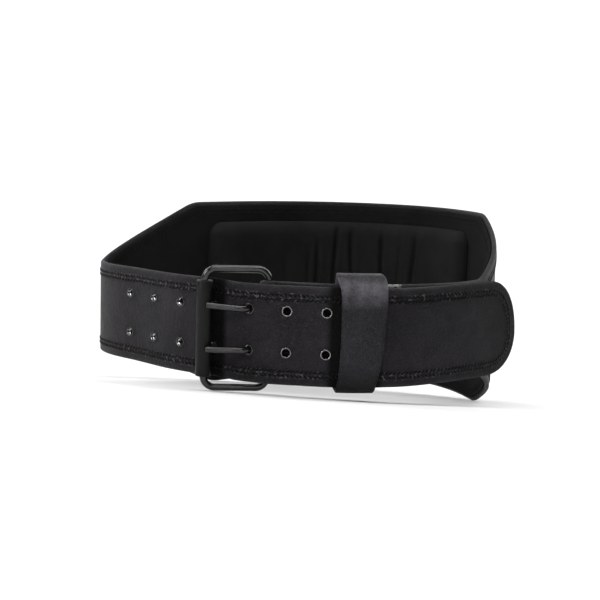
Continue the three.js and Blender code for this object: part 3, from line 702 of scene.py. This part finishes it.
def leatherRings():
    # three stretches of one strap: the folded end, the half turn round the bar, the loop and tongue
    s = np.linspace(outer["fold"], 1, outer["foldRows"])
    ease = smoothStep(s, 0, outer["throat"])
    near = stack + leather["gap"]
    depth = (2 * foldRadius - leather["thick"]) * (1 - ease) + near * ease
    half = np.full(len(s), loop["strap"] / 2 - outer["foldInset"])
    section = sectionLoop(half, leather["thick"], leather["round"], outer["across"])
    back = belt.place(s[:, None], depth[:, None] + leather["thick"] - section[..., 0], section[..., 1])
    behind = math.atan2(*belt.inward(0.0)[::-1])
    share = np.linspace(0, 1, outer["turnRows"])
    a = (behind + math.pi * share)[:, None]
    half = loop["strap"] / 2 - outer["foldInset"] * (1 - share)
    section = sectionLoop(half, leather["thick"], leather["round"], outer["across"])
    r = foldRadius - section[..., 0]
    turn = np.stack([hinge[0] + r * np.cos(a), hinge[1] + r * np.sin(a), section[..., 1]], -1)
    s2 = beltLengths(foldRadius, tipS, loop["tip"], outer["step"])
    share = tipShare(s2, tipS, loop["tip"])
    half = np.maximum(halfWidth(s2) * share, leather["round"] + 0.05)
    section = sectionLoop(half, leather["thick"], leather["round"], outer["across"])
    drop = loop["tipDrop"] * (1 - share) + tongueSag(s2)
    main = belt.place(s2[:, None], section[..., 0], drawnIn(section[..., 1] - drop[:, None], s2[:, None]))
    rings = np.concatenate([back, turn, main])
    # the map: length along the strap, and distance from its edge
    lengths = np.r_[-s, np.zeros(outer["turnRows"]), s2]
    folded = np.full(len(s) + outer["turnRows"], loop["strap"] / 2 - outer["foldInset"])
    halves = np.r_[folded, halfWidth(s2)]
    z = rings[..., 2] + tongueSag(lengths)[:, None]
    lower = halves * halfWidth(lengths, flare["lowerLead"]) / halfWidth(lengths)
    edge = np.where(z < 0, lower[:, None], halves[:, None]) - np.abs(z)
    # round the tip the edge distance is measured to the outline's own points
    near = lengths > tipS - loop["tip"] - tipLead + 2
    rim = tipOutline(0, 400)
    flat = np.stack([np.broadcast_to(lengths[near, None], z[near].shape), z[near]], -1)
    away = np.linalg.norm(flat[:, :, None] - rim[None, None], axis=-1).min(-1)
    edge[near] = np.minimum(edge[near], away)
    uv = np.stack([np.broadcast_to(lengths[:, None], z.shape), edge], -1) / 1000
    return rings, uv


def cylinderAt(s, z, radius, length, sides=28):
    # cutter across the strap: circle in the strap's face, swept along its depth
    a = np.linspace(0, 2 * math.pi, sides, endpoint=False)
    mid, n = belt.point(s), belt.inward(s)
    t = np.array([n[1], -n[0]])
    ring = []
    for d in (-length / 2, length / 2):
        xy = mid + n * (stack / 2 + d) + t * (radius * np.cos(a))[:, None]
        ring.append(np.concatenate([xy, (z + radius * np.sin(a))[:, None]], 1))
    return toRow(np.concatenate(ring)), cappedFaces(2, sides)


def joinedCutter(name, parts):
    # one mesh of several (points, faces) parts
    verts, faces, n = [], [], 0
    for v, f in parts:
        verts.append(v)
        faces += [[i + n for i in face] for face in f]
        n += len(v)
    return looseMesh(name, np.concatenate(verts), faces)


def holeCutter():
    # a cylinder through the strap for each hole, long enough to pass both of its faces
    through = stack * 2.4
    return joinedCutter("holes", [cylinderAt(holeS + c * holes["pitch"], z, holes["radius"], through)
                                  for c in holes["columns"] for z in rowZ.values()])


def roomCutter():
    # the prongs' own sweep, a little thicker
    parts = []
    for z in rowZ.values():
        ring = sweepPlan(prongPlan, z, prong["radius"] + prong["room"], 12)
        parts.append((toRow(ring.reshape(-1, 3)), cappedFaces(*ring.shape[:2])))
    return joinedCutter("prong_room", parts)


slot = {"radius": 7.55, "half": 3.0, "sides": 40}


def slotCutter():
    # a drum round the hinge bar for each prong's eye
    a = np.linspace(0, 2 * math.pi, slot["sides"], endpoint=False)
    x, y = hinge[0] + slot["radius"] * np.cos(a), hinge[1] + slot["radius"] * np.sin(a)
    parts = []
    for z in rowZ.values():
        ends = [np.stack([x, y, np.full_like(x, z + d)], 1) for d in (-slot["half"], slot["half"])]
        parts.append((toRow(np.concatenate(ends)), cappedFaces(2, slot["sides"])))
    return joinedCutter("slots", parts)


rings, uv = leatherRings()
strap = tubeMesh("strap", rings, strapLeather, uv=uv)
cutAway(strap, [holeCutter(), roomCutter(), slotCutter()])
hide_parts("belt_leather")
print("strap made", len(strap.data.polygons))

# lining
lining = {"start": 24, "inset": 2.6, "round": 0.85, "step": 4.0, "across": 28, "corner": 4}


def liningRings():
    # the strap's own section, thinner and inset, one gap inside the leather
    end = tipS - lining["inset"]
    tip = loop["tip"] - lining["inset"]
    s = beltLengths(lining["start"], end, tip, lining["step"])
    share = tipShare(s, end, tip)
    half = np.maximum((halfWidth(s) - lining["inset"]) * share, lining["round"] + 0.05)
    section = sectionLoop(half, leather["lining"], lining["round"], lining["across"], lining["corner"])
    drop = loop["tipDrop"] * (1 - share) + tongueSag(s)
    z = drawnIn(section[..., 1] - drop[:, None], s[:, None])
    return belt.place(s[:, None], leather["thick"] + leather["gap"] + section[..., 0], z)


liner = tubeMesh("suede_layer", liningRings(), liningSuede)
cutAway(liner, [holeCutter(), roomCutter()])
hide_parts("inner_lining")
print("lining made")

# pad
pad = {"start": 0.344, "end": 0.673, "inset": 17, "thick": 9, "corner": 13, "crease": 3.4,
       "roll": 11, "rim": 0.12, "crown": 0.5, "along": 300, "across": 81, "endRows": 12,
       "floor": 0.6, "edgeFade": 8, "swell": 0.35, "waver": 1.2}
# (along, depth, half width mm, lean mm, top share where it starts)
creases = np.array([
    (0.255, 1.00, 2.4, -3.0, 0.80), (0.314, 0.40, 2.2, -2.0, 0.70), (0.380, 1.00, 2.3, -2.5, 0.85),
    (0.474, 0.85, 2.4, 3.0, 0.92), (0.544, 0.90, 2.0, -1.0, 0.97), (0.606, 0.75, 2.2, 1.5, 0.66),
    (0.640, 0.30, 2.2, 1.0, 0.60), (0.720, 0.22, 3.0, 1.0, 0.50),
])


def padRings():
    # closed rings across the pad: its crowned face falls off to the edges as a quarter circle
    start, length = pad["start"] * holeS, (pad["end"] - pad["start"]) * holeS
    ends = (1 - np.cos(np.linspace(0, 1, pad["endRows"]) * math.pi / 2)) * pad["corner"]
    middle = np.linspace(pad["corner"], length - pad["corner"], pad["along"])[1:-1]
    s = np.r_[ends, middle, length - ends[::-1]]
    gapEnd = np.minimum(s, length - s)
    cut = np.clip(1 - gapEnd / pad["corner"], 0, 1)
    half = halfWidth(start + s) - pad["inset"] - pad["corner"] * (1 - np.sqrt(1 - cut**2 * 0.97))
    v = np.linspace(-1, 1, pad["across"])
    v = np.sign(v) * (1 - (1 - np.abs(v)) ** 1.25)  # closer rows towards the edges
    z = v[None] * half[:, None]
    fromEdge = np.minimum(half[:, None] - np.abs(z), gapEnd[:, None])
    roll = np.clip(fromEdge / pad["roll"], 0, 1)
    height = pad["thick"] * (pad["rim"] + (1 - pad["rim"]) * np.sqrt(1 - (1 - roll) ** 2))
    height += pad["crown"] * (np.cos(v * math.pi / 2) - 1)
    edgeFade = np.clip(fromEdge / pad["edgeFade"], 0, 1)
    share = v[None] * np.ones_like(height)
    for along, deep, width, lean, top in creases:
        mid = along * length + lean * share - pad["waver"] * np.sin(share * 3 + along * 20)
        fade = np.clip((top + 0.12 - share) / 0.25, 0, 1) * np.clip((share + 1.02) / 0.3, 0, 1)
        w = width * (0.8 + 0.4 * np.abs(share))
        d = (s[:, None] - mid) / w
        # a groove with a low swell on both sides
        height -= pad["crease"] * deep * fade * np.exp(-d * d) * edgeFade
        height += pad["swell"] * deep * fade * np.exp(-((np.abs(d) - 2.0) ** 2)) * edgeFade
    height = np.maximum(height, pad["floor"])
    base = stack + leather["gap"]
    along = (start + s)[:, None]
    top = belt.place(along, base + height, drawnIn(z, along))
    low = belt.place(along, base, drawnIn(half[:, None] * np.array([[1, 0, -1]]), along))
    return np.concatenate([top, low], 1)


backPad = tubeMesh("lumbar_pad", padRings(), padSuede)
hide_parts("back_pad")
print("pad made")

# stitching: slanted threads in two rows along both edges and round the tip
stitch = {"pitch": 3.1, "long": 3.7, "wide": 1.25, "high": 1.0, "slant": 0.68,
          "insets": (6.7, 9.8), "sides": 6}


def rowPoints(inset, start):
    # (length, height) points of a row: along the lower edge, round the tip, back along the upper edge
    s = np.arange(start, tipS - loop["tip"] - tipLead - 1, 1.0)
    low = np.stack([s, -(halfWidth(s) - inset)], -1)
    line = np.concatenate([low, tipOutline(inset, 160), low[::-1] * (1, -1)])
    line[:, 1] = drawnIn(line[:, 1] - tongueSag(line[:, 0]), line[:, 0])
    step = np.r_[1, np.linalg.norm(np.diff(line, axis=0), axis=1)]
    return line[step > 0.02]


def stitchRow(points, depth, out, flip):
    # thread template copied along the row: a round thread that thins and sinks at both ends;
    # each vertex is laid on the strap's face
    d = np.r_[0, np.cumsum(np.linalg.norm(np.diff(points, axis=0), axis=1))]
    at = np.arange(stitch["pitch"], d[-1] - stitch["pitch"], stitch["pitch"])
    mid = np.stack([np.interp(at, d, points[:, k]) for k in (0, 1)], -1)
    ahead = np.stack([np.interp(at + 0.5, d, points[:, k]) for k in (0, 1)], -1) - mid
    ahead /= np.linalg.norm(ahead, axis=1, keepdims=True)
    c, s = math.cos(stitch["slant"] * flip), math.sin(stitch["slant"] * flip)
    ahead = np.stack([ahead[:, 0] * c - ahead[:, 1] * s, ahead[:, 0] * s + ahead[:, 1] * c], -1)
    side = np.stack([-ahead[:, 1], ahead[:, 0]], -1)
    sides = stitch["sides"]
    u = np.linspace(-1, 1, sides)
    fat = np.sqrt(np.maximum(1 - np.abs(u) ** 3.0, 0.03))
    a = np.linspace(0, 2 * math.pi, sides, endpoint=False)
    x = np.repeat(u * stitch["long"] / 2, sides)
    y = (fat[:, None] * np.cos(a) * stitch["wide"] / 2).ravel()
    h = (fat[:, None] * np.sin(a) * stitch["high"] / 2 + (fat[:, None] - 1) * 0.35 + 0.12).ravel()
    flat = mid[:, None] + ahead[:, None] * x[None, :, None] + side[:, None] * y[None, :, None]
    verts = belt.place(flat[..., 0], depth + out * h[None], flat[..., 1]).reshape(-1, 3)
    starts = np.arange(len(mid))[:, None] * sides**2
    faces = []
    for face in cappedFaces(sides, sides):
        faces += (starts + np.array(face)).tolist()
    return verts, faces


def stitches(name, depth, out, start, material):
    # both rows on one face of the strap, their threads slanted against each other
    verts, faces, n = [], [], 0
    for k, inset in enumerate(stitch["insets"]):
        v, f = stitchRow(rowPoints(inset, start), depth, out, 1 if k else -1)
        verts.append(v)
        faces += [[i + n for i in face] for face in f]
        n += len(v)
    obj = addMesh(name, toRow(np.concatenate(verts)), faces, material)
    faceOut(obj)


stitches("stitches_outside", 0.0, -1, 12, threadMat)
stitches("stitches_inside", stack, 0.4, 90, liningSuede)
print("stitches made")

# buckle
buckle = {"wire": 2.5, "height": 88, "corner": 8, "cornerRows": 14, "rollerLength": 67, "bore": 2.9}


def frameRings(sides=20):
    # round wire round a rounded rectangle that lies in the plane through hinge and roller bars
    run = (roller - hinge) / np.linalg.norm(roller - hinge)
    c = buckle["corner"]
    far, high = np.linalg.norm(roller - hinge) - c, buckle["height"] / 2 - buckle["wire"] - c
    b = np.linspace(0, 2 * math.pi, sides, endpoint=False)
    corners = [(c, -high), (c, high), (far, high), (far, -high)]
    rows = []
    for k, (cx, cz) in enumerate(corners):
        start = math.pi * (1.5 - k / 2)
        for a in start - np.linspace(0, math.pi / 2, buckle["cornerRows"]):
            rows.append((cx + c * math.cos(a), cz + c * math.sin(a), a))
        nextX, nextZ = corners[(k + 1) % 4]
        x, z, a = rows[-1]
        for share in (0.25, 0.5, 0.75):
            rows.append((x + (nextX - cx) * share, z + (nextZ - cz) * share, a))
    rows = np.array(rows)
    out = buckle["wire"] * np.cos(b)
    rise = buckle["wire"] * np.sin(b)
    u = rows[:, :1] + out[None] * np.cos(rows[:, 2:])
    z = rows[:, 1:2] + out[None] * np.sin(rows[:, 2:])
    x = hinge[0] + run[0] * u - run[1] * rise[None]
    y = hinge[1] + run[1] * u + run[0] * rise[None]
    return np.stack([x, y, z], -1)


buckleWire = tubeMesh("buckle_wire", frameRings(), buckleMetal, closed=True)
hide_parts("buckle_frame")


def rollerRings(sides=48):
    # lathe round the front bar: bore, rounded rims, outside
    end, r, bore = buckle["rollerLength"] / 2, rollerRadius, buckle["bore"]
    rim = [(bore, -end + 0.3), (bore + 0.3, -end), (r - 0.8, -end), (r - 0.25, -end + 0.2), (r, -end + 0.8)]
    side = [(r, -end / 2), (r, 0), (r, end / 2)]
    profile = np.array(rim + side + [(radius, -z) for radius, z in rim[::-1]])
    a = np.linspace(0, 2 * math.pi, sides, endpoint=False)[:, None]
    x = roller[0] + profile[None, :, 0] * np.cos(a)
    y = roller[1] + profile[None, :, 0] * np.sin(a)
    return np.stack([x, y, np.broadcast_to(profile[None, :, 1], x.shape)], -1)


sleeve = tubeMesh("roller_sleeve", rollerRings(), rollerMetal, body="roller", closed=True)
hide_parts("roller")
print("buckle made")

# eyelets: the rims past the prongs take a lighter copy of the metal, painted light, the rest a darker copy,
# painted shade; the pair in use and the one beside it are in painted shade all over, their barrels too
eyelet = {"rim": 3.7, "lip": 0.45, "wall": 0.3, "bore": 2.75, "boreProng": 3.1, "depth": 3.4,
          "shadedPairs": (-1, 0)}


def eyeletRings(s, z, bore, sides=36):
    # lathe across the strap's face, as (radius, height over the leather): thin barrel in the
    # hole, a funnel up to the rim, and a rounded rim on the leather
    crest, back = eyelet["rim"] - eyelet["lip"], bore + eyelet["wall"]
    k = np.linspace(0, math.pi, 9)
    lip = np.stack([crest - eyelet["lip"] * np.cos(k), 0.12 + 0.33 * np.sin(k)], -1)
    funnel = [(bore, -eyelet["depth"]), (bore, -1.6), (bore, -0.9), (bore + 0.15, -0.45),
              (bore + 0.4 * (crest - bore), -0.1)]
    profile = np.concatenate([funnel, lip, [(back, 0.05), (back, -eyelet["depth"])]])
    a = np.linspace(0, 2 * math.pi, sides, endpoint=False)[:, None]
    mid, n = belt.point(s), belt.inward(s)
    ahead = np.array([n[1], -n[0]])
    r, out = profile[None, :, 0], profile[None, :, 1:2]
    xy = mid - n * out + ahead * (r * np.cos(a))[..., None]
    return np.concatenate([xy, (z + r * np.sin(a))[..., None]], -1)


for i, c in enumerate(holes["columns"]):
    for rowName, z in rowZ.items():
        bore = eyelet["boreProng"] if c == 0 else eyelet["bore"]
        grid = eyeletRings(holeS + c * holes["pitch"], z, bore)
        # painted light on the rims past the prongs, painted shade on the others
        rimLitOrShaded = eyeletRimLit if c > 0 else eyeletShaded
        ring = tubeMesh(f"eyelet_rim_{rowName}_{i + 1}", grid, rimLitOrShaded, closed=True)
        # the shaded pairs keep the darker metal in their barrels too: painted shade
        if c not in eyelet["shadedPairs"]:
            paintColumns(ring, grid.shape[1], 0, 5, eyeletNickel)  # the barrel
        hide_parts(f"eyelet_{rowName}_{i + 1}")
print("eyelets made")

# keeper
keeper = {"width": 33, "thick": 2.6, "above": 7.2, "below": 5.2, "topBend": 8.6, "bottomBend": 4.8,
          "fromHole": 6.3, "edgeRound": 0.9, "bevel": 0.8, "across": 17, "cornerRows": 14, "sideRows": 14,
          "belly": 0.7, "proud": 0.4, "lean": 2.2}
# (height share, left edge mm, right edge mm): how far the front's edges stray to the right
keeperEdges = np.array([
    (-1.0, 1.2, -6.7), (-0.7, 3.2, -3.6), (-0.3, 4.0, -0.8),
    (0.2, 4.2, 0.6), (0.75, 3.6, 0.7), (1.0, -0.8, 0.0),
])


def keeperMiddle():
    # length along the loop's own start that lies under the keeper's middle
    place = holes["columns"][-1] * holes["pitch"] + keeper["fromHole"] + keeper["width"] / 2
    target = belt.point(holeS + place)
    s = np.arange(0, loop["tongue"], 0.5)
    return s[np.argmin(np.linalg.norm(belt.point(s) - target, axis=1))]


def keeperRings():
    # band round the straps: a racetrack of four bends, its two side edges bowed by hand-cut shape
    outside = -(stack + leather["lift"] + 2 * leather["gap"] + keeper["thick"])
    inner = stack + leather["thick"] + 3 * leather["gap"] + keeper["thick"]
    low, high = -loop["strap"] / 2 - keeper["below"], loop["strap"] / 2 + keeper["above"]
    corners = [(outside, low, keeper["bottomBend"]), (outside, high, keeper["topBend"]),
               (inner, high, keeper["topBend"]), (inner, low, keeper["bottomBend"])]
    rows = []
    for k, (d, z, bend) in enumerate(corners):
        cd, cz = d + bend * (1 if d < 0 else -1), z + bend * (1 if z < 0 else -1)
        for a in math.pi * 1.5 - math.pi / 2 * (k + np.linspace(0, 1, keeper["cornerRows"])):
            rows.append((cd, cz, a, bend))
        nd, nz, nb = corners[(k + 1) % 4]
        nextD, nextZ = nd + nb * (1 if nd < 0 else -1), nz + nb * (1 if nz < 0 else -1)
        a = rows[-1][2]
        for share in np.linspace(0, 1, keeper["sideRows"])[1:-1]:
            rows.append((cd + (nextD - cd) * share, cz + (nextZ - cz) * share, a,
                         bend + (nb - bend) * share))
    rows = np.array(rows)
    # section across the band: outer face, one rounded edge, inner face, the other edge
    thick, bevel, flat = keeper["thick"], keeper["bevel"], keeper["across"]
    w = np.linspace(-1, 1, flat) * (1 - keeper["edgeRound"] / (keeper["width"] / 2))
    wide = np.r_[w, 1.0, 1.0, w[::-1], -1.0, -1.0]
    inset = np.r_[np.zeros(flat), bevel, thick - bevel, np.full(flat, thick), thick - bevel, bevel]
    cd, cz, a, bend = (rows[:, i: i + 1] for i in range(4))
    depth = cd + (bend - inset[None]) * np.cos(a)
    z = cz + (bend - inset[None]) * np.sin(a)
    tall = (high - low) / 2
    v = (z - (high + low) / 2) / tall
    frontness = smoothStep(inner - depth, 0, inner - outside)
    side = (wide[None] + 1) / 2
    left, right = (np.interp(v, keeperEdges[:, 0], keeperEdges[:, k]) for k in (1, 2))
    s = keeperMiddle() + wide[None] * keeper["width"] / 2 + (left * (1 - side) + right * side) * frontness
    # the front bows out a little and leans back towards the top bend
    tallWave, wideWave = np.cos(np.clip(v, -1, 1) * math.pi / 2), np.cos(wide[None] * math.pi / 2)
    belly = keeper["belly"] * tallWave * wideWave + keeper["proud"]
    belly -= keeper["lean"] * np.clip((v - 0.5) / 0.5, 0, 1) ** 2
    return belt.place(s, depth - belly * frontness, z), np.stack([wide + 0 * v, v], -1)


keeperGrid, keeperMap = keeperRings()
loopBand = tubeMesh("keeper_band", keeperGrid, keeperLeather, closed=True, uv=keeperMap)
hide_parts("keeper_loop")
print("keeper made")


# floor and light
def makeStage():
    # white floor and backdrop, and an even dim sky
    mat, _, shader = newMaterial("floor_paint")
    shader.inputs["Base Color"].default_value = grey(0.9)
    shader.inputs["Roughness"].default_value = 0.8
    sheets = {
        "floor": [(-6, -6, -0.0004), (6, -6, -0.0004), (6, 6, -0.0004), (-6, 6, -0.0004)],
        "backdrop": [(-8, 3, -0.2), (8, 3, -0.2), (8, 3, 6), (-8, 3, 6)],
    }
    for name, corners in sheets.items():
        sheet = looseMesh(name, np.array(corners), [[0, 1, 2, 3]])
        sheet.data.materials.append(mat)
    world = bpy.data.worlds.new("studio")
    world.use_nodes = True
    back = world.node_tree.nodes["Background"]
    back.inputs["Color"].default_value = (1, 1, 1, 1)
    back.inputs["Strength"].default_value = 0.14
    bpy.context.scene.world = world
    bpy.context.scene.view_settings.view_transform = "Standard"


lights = {
    # name: (place, aim, size x, size y, watts)
    "key": ((-0.9, -0.66, 0.44), (-0.02, -0.08, 0.06), 0.3, 0.45, 5.6),
    "fill": ((1.3, -1.2, 0.5), (0.02, -0.08, 0.06), 0.8, 0.8, 0.35),
    "top": ((0.1, -0.25, 1.3), (0.0, 0.0, 0.1), 1.3, 0.4, 11),
    "front top": ((-0.35, -1.5, 1.25), (0.0, -0.1, 0.08), 0.9, 0.25, 5),
    "front": ((0.1, -1.9, 0.34), (0.0, -0.1, 0.08), 0.7, 0.16, 2.2),
    "back left": ((-2.6, 1.2, 2.2), (-1.5, 3.0, 0.9), 2.0, 2.0, 90),
    "back right": ((2.6, 1.2, 2.2), (1.5, 3.0, 0.9), 2.0, 2.0, 90),
}


def makeLights():
    # area lamps, each turned to its aim
    for name, (place, aim, sx, sy, watts) in lights.items():
        data = bpy.data.lights.new(name, "AREA")
        data.shape = "RECTANGLE"
        data.size, data.size_y, data.energy = sx, sy, watts
        lamp = bpy.data.objects.new(name, data)
        lamp.location = place
        lamp.rotation_euler = (Vector(aim) - Vector(place)).to_track_quat("-Z", "Y").to_euler()
        bpy.context.scene.collection.objects.link(lamp)


makeStage()
makeLights()
print("stage made")
